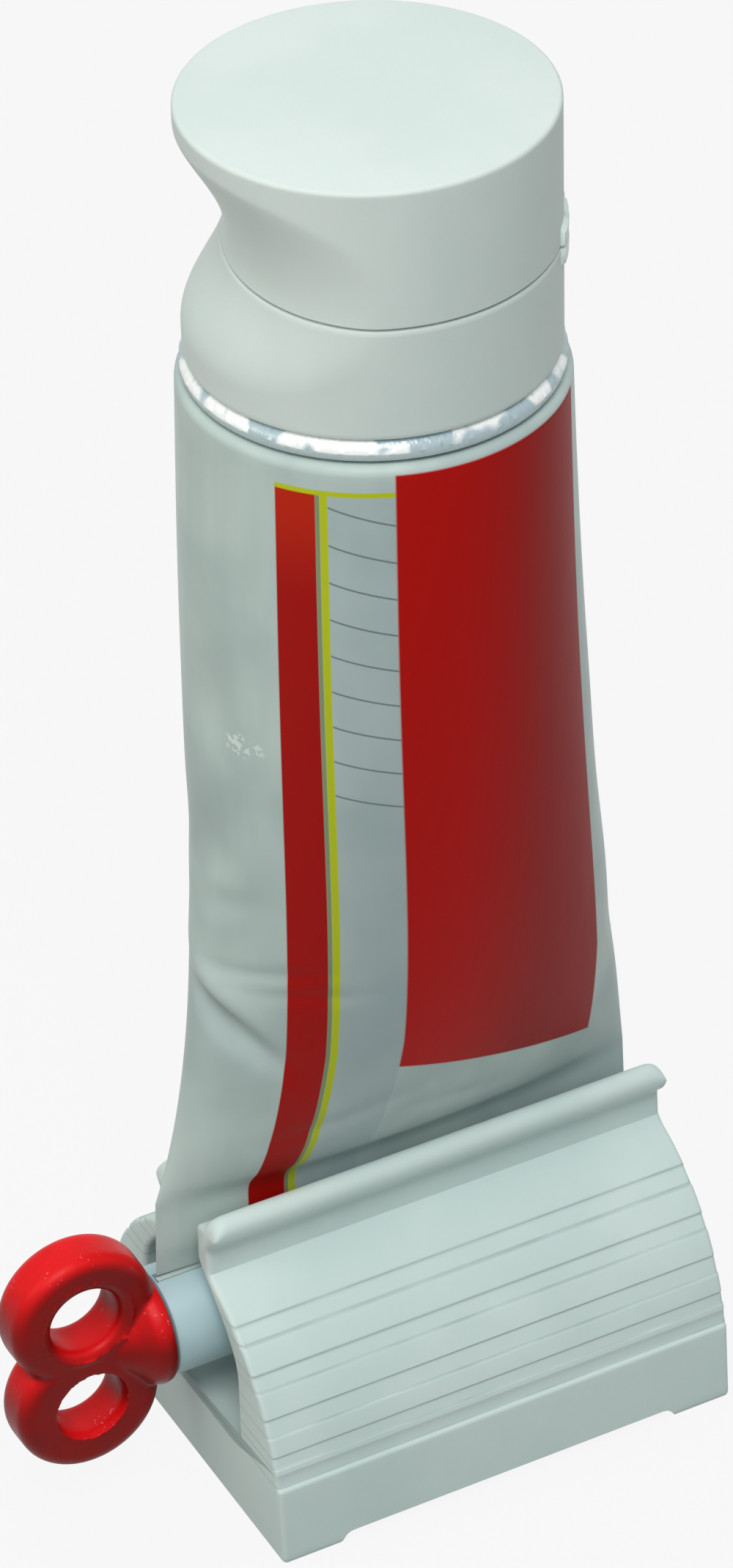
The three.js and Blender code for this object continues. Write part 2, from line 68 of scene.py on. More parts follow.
STAND_LOW, STAND_HIGH = corners("stand_body")
SHAFT_LOW, SHAFT_HIGH = corners("key_shaft")
WING_LOW, WING_HIGH = corners("key_wing")
SLEEVE_LOW, SLEEVE_HIGH = corners("tube_sleeve")
TAIL_LOW, TAIL_HIGH = corners("tube_tail_end")
SHOULDER_LOW, SHOULDER_HIGH = corners("tube_shoulder")
COLLAR_LOW, COLLAR_HIGH = corners("cap_base")
LID_LOW, LID_HIGH = corners("flip_lid")

# The photograph's view
CAMERA_PLACE = Vector((-0.29323, -0.58133, 0.57430))
CAMERA_AZIMUTH = math.radians(-27.3676)
CAMERA_ELEVATION = math.radians(35.8947)
CAMERA_ROLL = math.radians(-1.5432)
FOCAL_PIXELS = 8715.33
IMAGE_HEIGHT = 2140

# Light
LIT_POINT = Vector((0, 0, 0.1))
SKY_COLOUR = (0.9, 1.0, 0.99, 1)
SKY_AT_HORIZON = 0.04
SKY_OVERHEAD = 0.92
FLOOR_COLOUR = (0.35, 0.36, 0.35, 1)
FLOOR_GLOW = 0.9
FLOOR_REACH = 4

# Stand
STAND_X = (STAND_LOW[0] + STAND_HIGH[0]) / 2
HALF_LENGTH = (STAND_HIGH[0] - STAND_LOW[0]) / 2
HALF_DEPTH = STAND_HIGH[1]
LIP_TOP = STAND_HIGH[2]
PLINTH_HEIGHT = 12
PLINTH_DRAFT = 0.5
PLINTH_STEP = 0.45
PLINTH_LEAN = 0.3
PLINTH_BLEND = 2.2
VAULT_SPRING = 6
VAULT_RISE = 30.2
VAULT_DEPTH = HALF_DEPTH - PLINTH_DRAFT
NECK_INNER = 3.2
NECK_OUTER = 6.2
VAULT_TOP = VAULT_SPRING + VAULT_RISE * math.sqrt(1 - (NECK_OUTER / VAULT_DEPTH) ** 2)
LIP_HEIGHT = 6.6
LIP_FLARE = 2.4
LIP_TIP = 1.7
# How far round its tip the lip is rolled
LIP_TURN = 0.88 * math.pi
LIP_END_RADIUS = 2.6
CHANNEL_FLOOR = 12
CHANNEL_SIDE = 13.5
CHANNEL_SIDE_TOP = 25
EDGE_ROUND = 0.7
SKIN = 2.2
GROOVE_DEPTH = 0.24
GROOVE_SOFT = 0.3
# The upper and lower edge of each shallow groove along the vault
GROOVES = [(31.7, 29.9), (26.9, 25.0), (21.8, 19.5), (16.9, 15.2)]
# How far in from either end the stand's sections lie close together
END_STATIONS = (0, 0.03, 0.08, 0.15, 0.25, 0.38, 0.54, 0.7, 0.9, 1.15, 1.45, 1.8, 2.2, 2.6, 3.2)
FOOT_LENGTH = 9.6
FOOT_HEIGHT = 1.7

# Winding key
SHAFT_HEIGHT = (SHAFT_LOW[2] + SHAFT_HIGH[2]) / 2
SHAFT_RADIUS = (SHAFT_HIGH[2] - SHAFT_LOW[2]) / 2
SPIGOT_LENGTH = 3.8
SPIGOT_RADIUS = 5
SLOT_WIDTH = 1.8
WING_RING_SPACING = 14.2
WING_RING_RADIUS = (WING_HIGH[2] - WING_LOW[2] - WING_RING_SPACING) / 2
WING_HEIGHT = (WING_LOW[2] + WING_HIGH[2]) / 2
WING_X = WING_LOW[0] + WING_RING_RADIUS
WING_THICKNESS = 7.4
WING_HOLE_RADIUS = 4.95
WING_EDGE = 2.2
WING_HOLE_EDGE = 1.4
WING_VOXEL = 0.28
COLLAR_RADIUS = WING_HIGH[1]
COLLAR_LENGTH = 2.6
COLLAR_TAPER = 5.2

# Tube
TUBE_X = (SHOULDER_LOW[0] + SHOULDER_HIGH[0]) / 2
SHOULDER_RADIUS = (SHOULDER_HIGH[0] - SHOULDER_LOW[0]) / 2
SHOULDER_INSET = 0.5
TUBE_RADIUS = SHOULDER_RADIUS + SHOULDER_INSET
TUBE_TOP = SLEEVE_HIGH[2]
TUBE_BOTTOM = SLEEVE_LOW[2]
SHOULDER_EDGE = TUBE_TOP + 1.6
TUBE_TOP_ROUND = 1.3
SHOULDER_RISE = 7.6
NECK_RADIUS = 9
NECK_HEIGHT = 8
BORE_RADIUS = 5
TAIL_HALF_WIDTH = 35
TAIL_HALF_THICKNESS = 2.3
SEAL_HALF_THICKNESS = 0.5
BELLY_SHIFT = 1.8
BELLY_POWER = 3
# What brings the belly's largest shift up to BELLY_SHIFT
BELLY_SCALE = 9.48
BULGE_EASE = 1.6
# The powers in the curve by which the sleeve fills out above the lips
BULGE_ONSET = 1.8
BULGE_ROUNDNESS = 0.6
# The share and the power of each term in the sleeve's widening towards the lips
WIDENING = [(0.65, 1.2), (0.35, 5)]
# How much sharper than an ellipse the edges of the pressed sleeve are
EDGE_SHARPNESS = 0.22
CRIMP_PITCH = 1.3
# The share of the sealed end's thickness that its crimp lines take
CRIMP_DEPTH = 0.16

# Cap
CAP_RADIUS = -COLLAR_LOW[1]
PARTING = COLLAR_HIGH[2] + GAP / 2
CAP_WALL = 1.6
CAP_DECK = 1.8
SNAP_WALL = 1.4
ORIFICE_RADIUS = 3
THUMB_AZIMUTH = math.radians(155)
THUMB_DEPTH = 5.5
THUMB_ABOVE_PARTING = 2.8
THUMB_MIDDLE = PARTING + THUMB_ABOVE_PARTING
THUMB_REACH_UP = 13.2
THUMB_REACH_DOWN = 14.4
# The powers by which the recess shallows towards its sides, its top and its foot
THUMB_FALL_ASIDE = 1.3
THUMB_FALL_UP = 1.35
THUMB_FALL_DOWN = 2.2
HINGE_AZIMUTH = math.radians(-25)
HINGE_HEIGHT = 3
HINGE_PROUD = 0.6
HINGE_STRAP = 3.6
HINGE_NOTCH = 0.9
# How far along a strap's half width each of its sections lies, and how far that is drawn in
HINGE_SECTIONS = [(-1, 0.35), (-0.93, 0.08), (-0.85, 0), (0, 0), (0.85, 0), (0.93, 0.08), (1, 0.35)]

# Where the fields of print end, in millimetres round the tube from its front and up from the floor
PANEL_LEFT = -9.4
PANEL_RIGHT = 21.2
PANEL_TOP = 161.9
PANEL_BOTTOM = 62
PANEL_BOTTOM_SLOPE = -0.33
STRIPE_LEFT = -24.3
STRIPE_WIDTH = 5.2
BORDER_GAP = 0.55
BORDER_WIDTH = 0.95
FIELD_TOP = 159.2
HAIRLINE_PITCH = 5.4
HAIRLINE_WIDTH = 0.28
HAIRLINE_LOWEST = 111
HAIRLINE_START = 0.1
HAIRLINE_BEND = 0.9
HAIRLINE_FALL = 0.38
DRIFT_LENGTH = 90
STRIPE_DRIFT = 1.9
PANEL_LEFT_DRIFT = 2.6
PANEL_RIGHT_DRIFT = 5
STRIPE_BRIGHT_FROM = 142
TOP_LINE_WIDTH = 0.7
SCUFF_AROUND = -29.3
SCUFF_HEIGHT = 119
SCUFF_NARROWING = 0.55


# Meshes


def as_mesh(name, points, faces):
    """A mesh from points in millimetres."""
    mesh = bpy.data.meshes.new(name)
    mesh.from_pydata([tuple(float(c) * MM for c in p) for p in points], [], faces)
    return mesh


def welded(mesh, slivers_too=False):
    """Joins points that coincide, turns the faces outward and, if asked, dissolves slivers."""
    shape = bmesh.new()
    shape.from_mesh(mesh)
    bmesh.ops.remove_doubles(shape, verts=shape.verts, dist=WELD * MM)
    if slivers_too:
        bmesh.ops.dissolve_degenerate(shape, edges=shape.edges, dist=WELD / 2 * MM)
    bmesh.ops.recalc_face_normals(shape, faces=shape.faces)
    shape.to_mesh(mesh)
    shape.free()


def placed(name, data):
    """A new object in the scene from a mesh, a lamp or a camera."""
    thing = bpy.data.objects.new(name, data)
    bpy.context.scene.collection.objects.link(thing)
    return thing


def dressed(name, mesh, material, body, slot, *nodes, sharp=35):
    """A finished mesh, riding on its body in place of its nodes."""
    welded(mesh, slivers_too=True)
    mesh.materials.clear()
    mesh.materials.append(material)
    mesh.shade_smooth()
    mesh.set_sharp_from_angle(angle=math.radians(sharp))
    thing = placed(name, mesh)
    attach(thing, body)
    if nodes:
        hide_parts(*nodes)
    return thing


def piece(name, points, faces, material, body, slot, *nodes, sharp=35):
    """A finished piece straight from its points in millimetres."""
    return dressed(name, as_mesh(name, points, faces), material, body, slot, *nodes, sharp=sharp)


def scratch(points, faces, matrix=None):
    """A throwaway object for joins and cuts."""
    mesh = as_mesh("scratch", points, faces)
    if matrix is not None:
        mesh.transform(matrix)
    welded(mesh)
    return placed("scratch", mesh)


def lofted(rings):
    """Points and faces of a closed skin over rings of equal counts."""
    rings = np.asarray(rings, float)
    levels, count, _ = rings.shape
    faces = []
    for level in range(levels - 1):
        here, above = level * count, (level + 1) * count
        for i in range(count):
            ahead = (i + 1) % count
            faces.append((here + i, here + ahead, above + ahead, above + i))
    faces.append(tuple(reversed(range(count))))
    faces.append(tuple(range((levels - 1) * count, levels * count)))
    return rings.reshape(-1, 3), faces


def revolved(profile_at, segments, x):
    """A skin swept round a vertical axis at x, with a profile of (radius, height) for each azimuth."""
    rings = []
    for segment in range(segments):
        azimuth = 2 * math.pi * segment / segments
        c, s = math.cos(azimuth), math.sin(azimuth)
        rings.append([(x + r * c, r * s, z) for r, z in profile_at(azimuth)])
    count = len(rings[0])
    faces = []
    for segment in range(segments):
        here, ahead = segment * count, (segment + 1) % segments * count
        faces += [(here + i, ahead + i, ahead + i + 1, here + i + 1) for i in range(count - 1)]
    return np.asarray(rings, float).reshape(-1, 3), faces


def turned(profile, segments):
    """A profile of (radius, height) about the vertical axis."""
    return revolved(lambda azimuth: profile, segments, 0)


def joined(first, others, operation):
    """Adds to an object the modifiers that join others to it or cut them from it."""
    for other in others:
        cut = first.modifiers.new(operation, "BOOLEAN")
        cut.operation = operation
        cut.object = other
        cut.solver = "EXACT"
    return first


def result(thing, *others):
    """The mesh that a throwaway object's modifiers leave, with the throwaway objects gone."""
    graph = bpy.context.evaluated_depsgraph_get()
    mesh = bpy.data.meshes.new_from_object(thing.evaluated_get(graph))
    for old in (thing, *others):
        bpy.data.objects.remove(old)
    return mesh


def filleted(corners_list, steps=5):
    """A path through (y, z, radius) corners, each rounded to its radius."""
    path = []
    last = len(corners_list) - 1
    for i, (y, z, radius) in enumerate(corners_list):
        here = np.array((y, z), float)
        if radius == 0 or i in (0, last):
            path.append(here)
            continue
        before = np.array(corners_list[i - 1][:2], float) - here
        after = np.array(corners_list[i + 1][:2], float) - here
        reach = min(radius, 0.45 * np.linalg.norm(before), 0.45 * np.linalg.norm(after))
        start = here + before / np.linalg.norm(before) * reach
        end = here + after / np.linalg.norm(after) * reach
        for t in np.linspace(0, 1, steps):
            path.append((1 - t) ** 2 * start + 2 * t * (1 - t) * here + t * t * end)
    return np.array(path)


def evenly(path, step):
    """The same path with no span longer than step."""
    points = [path[0]]
    for a, b in zip(path[:-1], path[1:]):
        parts = max(1, math.ceil(np.linalg.norm(b - a) / step))
        points += [a + (b - a) * (i + 1) / parts for i in range(parts)]
    return np.array(points)


def bezier(p0, p1, p2, p3, count):
    """Points along a cubic curve."""
    t = np.linspace(0, 1, count)[:, None]
    p0, p1, p2, p3 = (np.array(p, float) for p in (p0, p1, p2, p3))
    return (1 - t) ** 3 * p0 + 3 * t * (1 - t) ** 2 * p1 + 3 * t * t * (1 - t) * p2 + t ** 3 * p3


def smooth(t):
    """0 at 0, 1 at 1, and level at both."""
    t = np.clip(t, 0, 1)
    return t * t * (3 - 2 * t)


# Materials

# Where a Mix node keeps its factor, its two colours and its result
MIX_FACTOR, MIX_FROM, MIX_TO, MIX_RESULT = 0, 6, 7, 2


class Finish:
    """A material's nodes, with a short call for each kind that the finishes use."""

    def __init__(self, name, roughness, metallic=0.0):
        self.material = bpy.data.materials.new(name)
        self.material.use_nodes = True
        self.tree = self.material.node_tree
        self.surface = self.tree.nodes["Principled BSDF"]
        self.surface.inputs["Roughness"].default_value = roughness
        self.surface.inputs["Metallic"].default_value = metallic
        place = self.node("ShaderNodeTexCoord")
        self.place = place.outputs["Object"]
        self.facing = place.outputs["Normal"]
        self.normal = None

    def node(self, kind):
        return self.tree.nodes.new(kind)

    def set(self, socket, value):
        if isinstance(value, bpy.types.NodeSocket):
            self.tree.links.new(value, socket)
        else:
            socket.default_value = value

    def math(self, operation, a, b=0.0):
        node = self.node("ShaderNodeMath")
        node.operation = operation
        self.set(node.inputs[0], a)
        self.set(node.inputs[1], b)
        return node.outputs[0]

    def plus(self, a, b):
        return self.math("ADD", a, b)

    def minus(self, a, b):
        return self.math("SUBTRACT", a, b)

    def times(self, a, b):
        return self.math("MULTIPLY", a, b)

    def ranged(self, value, low, high, to_low, to_high, interpolation="LINEAR"):
        """The value's place between low and high, as a number from to_low to to_high."""
        node = self.node("ShaderNodeMapRange")
        node.interpolation_type = interpolation
        for socket, number in zip(node.inputs, (value, low, high, to_low, to_high)):
            self.set(socket, number)
        return node.outputs["Result"]

    def step(self, value, low, high):
        """0 below low, 1 above high, and smooth between."""
        return self.ranged(value, low, high, 0.0, 1.0, "SMOOTHSTEP")

    def between(self, value, low, high, soft=0.12):
        """1 from low to high and 0 outside, with soft edges."""
        rise = self.step(value, self.minus(low, soft), self.plus(low, soft))
        fall = self.step(value, self.minus(high, soft), self.plus(high, soft))
        return self.times(rise, self.minus(1.0, fall))

    def mix(self, factor, a, b):
        node = self.node("ShaderNodeMix")
        node.data_type = "RGBA"
        self.set(node.inputs[MIX_FACTOR], factor)
        self.set(node.inputs[MIX_FROM], a)
        self.set(node.inputs[MIX_TO], b)
        return node.outputs[MIX_RESULT]

    def noise(self, size, detail=2.0, stretch=(1, 1, 1), seed=0.0):
        """Noise whose blotches are about size millimetres across."""
        mapping = self.node("ShaderNodeMapping")
        self.set(mapping.inputs["Vector"], self.place)
        mapping.inputs["Scale"].default_value = stretch
        mapping.inputs["Location"].default_value = (seed, seed, seed)
        node = self.node("ShaderNodeTexNoise")
        node.inputs["Scale"].default_value = 1 / (size * MM)
        node.inputs["Detail"].default_value = detail
        self.set(node.inputs["Vector"], mapping.outputs["Vector"])
        return node.outputs["Fac"]

    def axes(self, vector):
        node = self.node("ShaderNodeSeparateXYZ")
        self.set(node.inputs[0], vector)
        return node.outputs

    def height(self):
        """Millimetres up from the floor."""
        return self.math("DIVIDE", self.axes(self.place)["Z"], MM)

    def bump(self, height, depth):
        """Relief depth millimetres high, over what came before."""
        node = self.node("ShaderNodeBump")
        node.inputs["Distance"].default_value = depth * MM
        self.set(node.inputs["Height"], height)
        if self.normal is not None:
            self.set(node.inputs["Normal"], self.normal)
        self.normal = node.outputs["Normal"]
        self.set(self.surface.inputs["Normal"], self.normal)

    def done(self, colour, roughness):
        self.set(self.surface.inputs["Base Color"], colour)
        self.set(self.surface.inputs["Roughness"], roughness)
        return self.material


def shade(red, green, blue):
    """A colour written as the screen shows it, from 0 to 255."""
    linear = [
        c / 12.92 if c <= 0.04045 else ((c + 0.055) / 1.055) ** 2.4
        for c in (red / 255, green / 255, blue / 255)
    ]
    return (*linear, 1.0)


def plastic(name, light, dark, roughness, seed=0.0, lines=()):
    """Moulded polypropylene: faint clouding, a fine grain, and painted shade in thin darker lines at the
    given heights.
    """
    finish = Finish(name, roughness)
    finish.surface.inputs["IOR"].default_value = 1.49
    finish.surface.inputs["Specular IOR Level"].default_value = 0.25
    finish.surface.inputs["Subsurface Weight"].default_value = 0.08
    finish.surface.inputs["Subsurface Scale"].default_value = 1.5 * MM
    clouds = finish.noise(22, 3.0, seed=seed)
    grain = finish.noise(0.35, 2.0, seed=seed)
    colour = finish.mix(finish.step(clouds, 0.35, 0.65), dark, light)
    colour = finish.mix(finish.ranged(grain, 0.3, 0.7, 0.0, 0.12), colour, dark)
    if lines:
        # Painted shade: thin darker lines at these heights, stronger in some patches than in others.
        height = finish.height()
        shaded = 0.0
        for z in lines:
            shaded = finish.math("MAXIMUM", shaded, finish.between(height, z - 0.12, z + 0.1))
        line_shade_strength = finish.ranged(finish.noise(9, 2.0, seed=seed), 0.3, 0.7, 0.2, 0.5)
        colour = finish.mix(finish.times(shaded, line_shade_strength), colour, shade(112, 134, 132))
    finish.bump(finish.noise(6, 2.0, seed=seed), 0.03)
    finish.bump(grain, 0.012)
    return finish.done(colour, finish.ranged(clouds, 0.3, 0.7, roughness - 0.04, roughness + 0.06))


def red_plastic():
    """The handle's red, with painted light: a lighter red on its upward faces and a darker one on the
    rest, and pale specks on the upward faces.
    """
    finish = Finish("red_plastic", 0.36)
    finish.surface.inputs["Specular IOR Level"].default_value = 0.14
    finish.surface.inputs["Coat Weight"].default_value = 0.04
    finish.surface.inputs["Coat Roughness"].default_value = 0.2
    clouds = finish.noise(7, 3.0)
    cloudy = finish.step(clouds, 0.3, 0.7)
    grain = finish.noise(0.5, 3.0)
    # Painted light and shade: upward faces take a lit copy of the red, the other faces a shaded copy.
    painted_top_light = finish.step(finish.axes(finish.facing)["Z"], 0.05, 0.75)
    painted_shade_red = finish.mix(cloudy, shade(132, 9, 6), shade(148, 12, 8))
    bright = finish.mix(cloudy, shade(226, 14, 18), shade(240, 22, 28))
    colour = finish.mix(painted_top_light, painted_shade_red, bright)
    patches = finish.times(painted_top_light, finish.step(finish.noise(5, 1.0, seed=3.0), 0.52, 0.64))
    specks = finish.times(finish.step(grain, 0.62, 0.7), patches)
    colour = finish.mix(finish.times(specks, 0.7), colour, shade(238, 140, 160))
    finish.bump(finish.noise(2.2, 2.0), 0.05)
    finish.bump(grain, 0.02)
    return finish.done(colour, finish.ranged(clouds, 0.3, 0.7, 0.32, 0.44))


def foil():
    """Bare laminate under the collar: a pale cut edge below, and above it short white patches of painted
    glint and painted shade along its creases.
    """
    finish = Finish("foil", 0.28, 0.15)
    finish.surface.inputs["Specular IOR Level"].default_value = 0.7
    # Painted glints: short white patches that stand in for the foil's sparkle.
    painted_glints = finish.noise(5, 1.0, stretch=(1, 1, 0.2), seed=2.0)
    creases = finish.noise(0.9, 2.0, stretch=(1, 1, 0.25))
    colour = finish.mix(finish.step(painted_glints, 0.5, 0.57), shade(178, 196, 204), shade(255, 255, 255))
    # Painted shade: the creases are darkened.
    painted_crease_shade = finish.times(finish.step(creases, 0.6, 0.66), 0.3)
    colour = finish.mix(painted_crease_shade, colour, shade(128, 146, 154))
    edge = finish.step(finish.height(), SHOULDER_EDGE - 0.12, SHOULDER_EDGE + 0.12)
    colour = finish.mix(edge, shade(186, 202, 204), colour)
    finish.bump(creases, 0.12)
    return finish.done(colour, finish.ranged(creases, 0.3, 0.7, 0.2, 0.4))


def laminate(finish):
    """The bare laminate: clouded grey-white, faintly streaked upward."""
    clouds = finish.noise(26, 3.0)
    streaks = finish.noise(5, 2.0, stretch=(1, 1, 0.18))
    colour = finish.mix(finish.step(clouds, 0.35, 0.65), shade(182, 196, 195), shade(204, 217, 213))
    return finish.mix(finish.ranged(streaks, 0.3, 0.7, 0.0, 0.25), colour, shade(170, 182, 186))


def ruled(finish, colour, around, up, left, field):
    """Fine rules across the field, which fall away from its left edge."""
    across = finish.math("ABSOLUTE", finish.minus(around, left))
    fall = finish.times(finish.math("POWER", across, HAIRLINE_BEND), HAIRLINE_FALL)
    turn = finish.math("FRACT", finish.math("DIVIDE", finish.plus(up, fall), HAIRLINE_PITCH))
    end = HAIRLINE_START + HAIRLINE_WIDTH / HAIRLINE_PITCH
    rules = finish.times(finish.between(turn, HAIRLINE_START, end, 0.015), field)
    rules = finish.times(rules, finish.step(up, HAIRLINE_LOWEST - 1, HAIRLINE_LOWEST + 1))
    return finish.mix(finish.times(rules, 0.75), colour, shade(96, 108, 116))


def scuffed(finish, colour, around, up):
    """A small patch on the bare side where the surface has peeled into pale specks."""
    across = finish.times(finish.minus(around, SCUFF_AROUND), SCUFF_NARROWING)
    above = finish.minus(up, SCUFF_HEIGHT)
    reach = finish.plus(finish.math("POWER", across, 2.0), finish.math("POWER", above, 2.0))
    patch = finish.minus(1.0, finish.step(reach, 1.5, 4.0))
    peeled = finish.step(finish.noise(0.9, 2.0, seed=7.0), 0.5, 0.56)
    return finish.mix(finish.times(patch, peeled), colour, shade(226, 236, 230))


def printed_sleeve():
    """The tube's satin laminate, with the plain fields of its print laid over it."""
    finish = Finish("printed_sleeve", 0.4)
    finish.surface.inputs["Specular IOR Level"].default_value = 0.1
    layout = finish.node("ShaderNodeUVMap")
    layout.uv_map = "unrolled"
    around, up, _ = finish.axes(layout.outputs["UV"])
    between = finish.between

    # The whole layout drifts a little to the right as the tube flattens
    depth = finish.math("MAXIMUM", finish.minus(FIELD_TOP, up), 0.0)
    share = finish.math("POWER", finish.times(depth, 1 / DRIFT_LENGTH), 2.0)
    drift = finish.math("MINIMUM", share, 1.0)
    stripe_left = finish.plus(STRIPE_LEFT, finish.times(drift, STRIPE_DRIFT))
    stripe_right = finish.plus(stripe_left, STRIPE_WIDTH)
    line_left = finish.plus(stripe_right, BORDER_GAP)
    line_right = finish.plus(line_left, BORDER_WIDTH)
    panel_left = finish.plus(PANEL_LEFT, finish.times(drift, PANEL_LEFT_DRIFT))
    panel_right = finish.plus(PANEL_RIGHT, finish.times(drift, PANEL_RIGHT_DRIFT))
    panel_bottom = finish.plus(PANEL_BOTTOM, finish.times(around, PANEL_BOTTOM_SLOPE))
    below_top = finish.minus(1.0, finish.step(up, FIELD_TOP - 0.1, FIELD_TOP + 0.1))

    # The pale field between the border and the panel
    field = finish.times(between(around, line_right, panel_left), below_top)
    colour = finish.mix(finish.times(field, 0.35), laminate(finish), shade(160, 178, 186))
    colour = ruled(finish, colour, around, up, line_right, field)

    # The stripe, the gap beside it, and the border's two lines
    stripe = finish.times(between(around, stripe_left, stripe_right), below_top)
    bright = finish.step(up, STRIPE_BRIGHT_FROM, FIELD_TOP)
    red = finish.mix(bright, shade(172, 18, 14), shade(198, 40, 18))
    colour = finish.mix(stripe, colour, red)
    gap = finish.times(between(around, stripe_right, line_left), below_top)
    colour = finish.mix(finish.times(gap, 0.8), colour, shade(120, 138, 74))
    border = finish.times(between(around, line_left, line_right), below_top)
    top_line = between(up, FIELD_TOP - TOP_LINE_WIDTH / 2, FIELD_TOP + TOP_LINE_WIDTH / 2)
    top_line = finish.times(top_line, between(around, stripe_left, panel_left))
    colour = finish.mix(finish.math("MAXIMUM", border, top_line), colour, shade(196, 204, 36))

    # The large panel, with painted shade making it a little darker towards its right edge
    across_panel = between(around, panel_left, panel_right, 0.18)
    panel = finish.times(across_panel, between(up, panel_bottom, PANEL_TOP, 0.18))
    painted_shade_red = finish.mix(finish.step(around, -2.0, 16.0), shade(190, 14, 9), shade(152, 12, 7))
    colour = finish.mix(panel, colour, painted_shade_red)
    colour = scuffed(finish, colour, around, up)

    print_relief = finish.math("MAXIMUM", panel, stripe)
    finish.bump(finish.noise(9, 3.0, stretch=(1, 1, 0.5)), 0.12)
    finish.bump(finish.noise(0.5, 2.0), 0.012)
    finish.bump(print_relief, 0.015)
    return finish.done(colour, finish.ranged(print_relief, 0.0, 1.0, 0.34, 0.44))


# Stand


def vault_depth(z):
    """Half depth of the elliptic vault at a height."""
    rise = np.clip((z - VAULT_SPRING) / VAULT_RISE, -1, 1)
    return VAULT_DEPTH * np.sqrt(1 - rise * rise)


def groove_depth(z):
    """How deep the vault's grooves cut at a height."""
    depth = np.zeros_like(z)
    for top, bottom in GROOVES:
        fall = smooth((z - bottom + GROOVE_SOFT / 2) / GROOVE_SOFT)
        rise = smooth((top + GROOVE_SOFT / 2 - z) / GROOVE_SOFT)
        depth = np.maximum(depth, fall * rise)
    return GROOVE_DEPTH * depth


def plinth_and_vault():
    """The outside of the section, from the middle of its base up to the neck."""
    ledge = PLINTH_HEIGHT + PLINTH_STEP
    blended = PLINTH_HEIGHT + PLINTH_BLEND
    plinth = filleted([
        (0, 0, 0),
        (HALF_DEPTH, 0, 1.0),
        (VAULT_DEPTH - PLINTH_LEAN, PLINTH_HEIGHT, 0.5),
        (vault_depth(ledge) - PLINTH_LEAN, ledge, 0.3),
        (vault_depth(blended) - 0.1, blended, 0),
    ])
    heights = np.linspace(blended + 0.2, VAULT_TOP - 0.5, 150)
    crotch = [(NECK_OUTER + 0.15, VAULT_TOP + 0.45)]
    return np.concatenate([plinth, np.stack([vault_depth(heights), heights], 1), crotch])


def lip():
    """The waisted neck and the lip's rolled tip, down to the inside of the neck."""
    neck = LIP_TOP - LIP_HEIGHT
    tip = NECK_OUTER + LIP_FLARE
    waist = bezier(
        (NECK_OUTER, neck),
        (NECK_OUTER - 0.4, neck + LIP_HEIGHT * 0.35),
        (tip, LIP_TOP - 2.6 * LIP_TIP),
        (tip, LIP_TOP - LIP_TIP),
        16,
    )
    turns = np.linspace(0, LIP_TURN, 16)[1:]
    across = tip - LIP_TIP + LIP_TIP * np.cos(turns)
    up = LIP_TOP - LIP_TIP + LIP_TIP * np.sin(turns)
    return np.concatenate([waist, np.stack([across, up], 1), [(NECK_INNER, LIP_TOP - LIP_HEIGHT * 0.45)]])


def channel():
    """The undercut channel for the wound tube, from the inside of the neck to the middle of its floor."""
    neck = LIP_TOP - LIP_HEIGHT
    roof = bezier(
        (NECK_INNER, neck - 1.4),
        (NECK_INNER + 1.2, neck - 4.4),
        (CHANNEL_SIDE, CHANNEL_SIDE_TOP + 4.6),
        (CHANNEL_SIDE, CHANNEL_SIDE_TOP - 2),
        24,
    )
    foot = filleted([
        (CHANNEL_SIDE, CHANNEL_SIDE_TOP - 3, 0),
        (CHANNEL_SIDE, CHANNEL_FLOOR, 1.6),
        (0, CHANNEL_FLOOR, 0),
    ])
    return np.concatenate([roof, foot])


def outward(loop):
    """Unit normals of a closed loop of (y, z), pointing out of it."""
    ahead = np.roll(loop, -1, 0) - np.roll(loop, 1, 0)
    normals = np.stack([ahead[:, 1], -ahead[:, 0]], 1)
    normals /= np.maximum(np.linalg.norm(normals, axis=1, keepdims=True), 1e-9)
    area = np.sum(loop[:, 0] * np.roll(loop[:, 1], -1) - np.roll(loop[:, 0], -1) * loop[:, 1])
    return normals if area > 0 else -normals


def stand_section(loop, normals, distance):
    """The stand's section at a distance in from either end, rounded off towards that end."""
    inside = max(0.0, 1 - distance / EDGE_ROUND)
    inset = EDGE_ROUND * (1 - math.sqrt(1 - inside * inside))
    into_lip = max(0.0, 1 - distance / LIP_END_RADIUS)
    shrink = math.sqrt(max(0.02, 1 - into_lip * into_lip))
    y, z = (loop - normals * inset).T
    base = LIP_TOP - LIP_END_RADIUS
    z = np.where(z > base, base + (z - base) * shrink, z)
    on_floor = loop[:, 1] < 1e-6
    z = np.where(on_floor, np.maximum(z, 0), z)
    return y, z


def stand_moulding(material):
    """The whole moulding: its section run along it, cored below and notched between the feet."""
    half = evenly(np.concatenate([plinth_and_vault(), lip(), channel()]), 0.9)
    loop = np.concatenate([half, half[-2:0:-1] * (-1, 1)])
    normals = outward(loop)
    aside, height = np.abs(loop[:, 0]), loop[:, 1]
    on_vault = (aside > NECK_OUTER + 0.5) & (height > PLINTH_HEIGHT + 2)
    on_vault &= aside > vault_depth(height) - 1
    loop = loop - normals * np.where(on_vault, groove_depth(height), 0)[:, None]
    distances = list(END_STATIONS)
    distances += list(np.linspace(END_STATIONS[-1], HALF_LENGTH, 10))[1:]
    left = [(-HALF_LENGTH + d, d) for d in distances]
    rings = []
    for x, distance in left + [(-x, d) for x, d in reversed(left[:-1])]:
        y, z = stand_section(loop, normals, distance)
        rings.append(np.stack([np.full_like(y, STAND_X + x), y, z], 1))
    body = scratch(*lofted(rings))
    tools = [scratch(*core_hollow()), scratch(*foot_notch())]
    joined(body, tools, "DIFFERENCE")
    return dressed("stand_moulding", result(body, *tools), material, "stand", "stand", "stand_body")


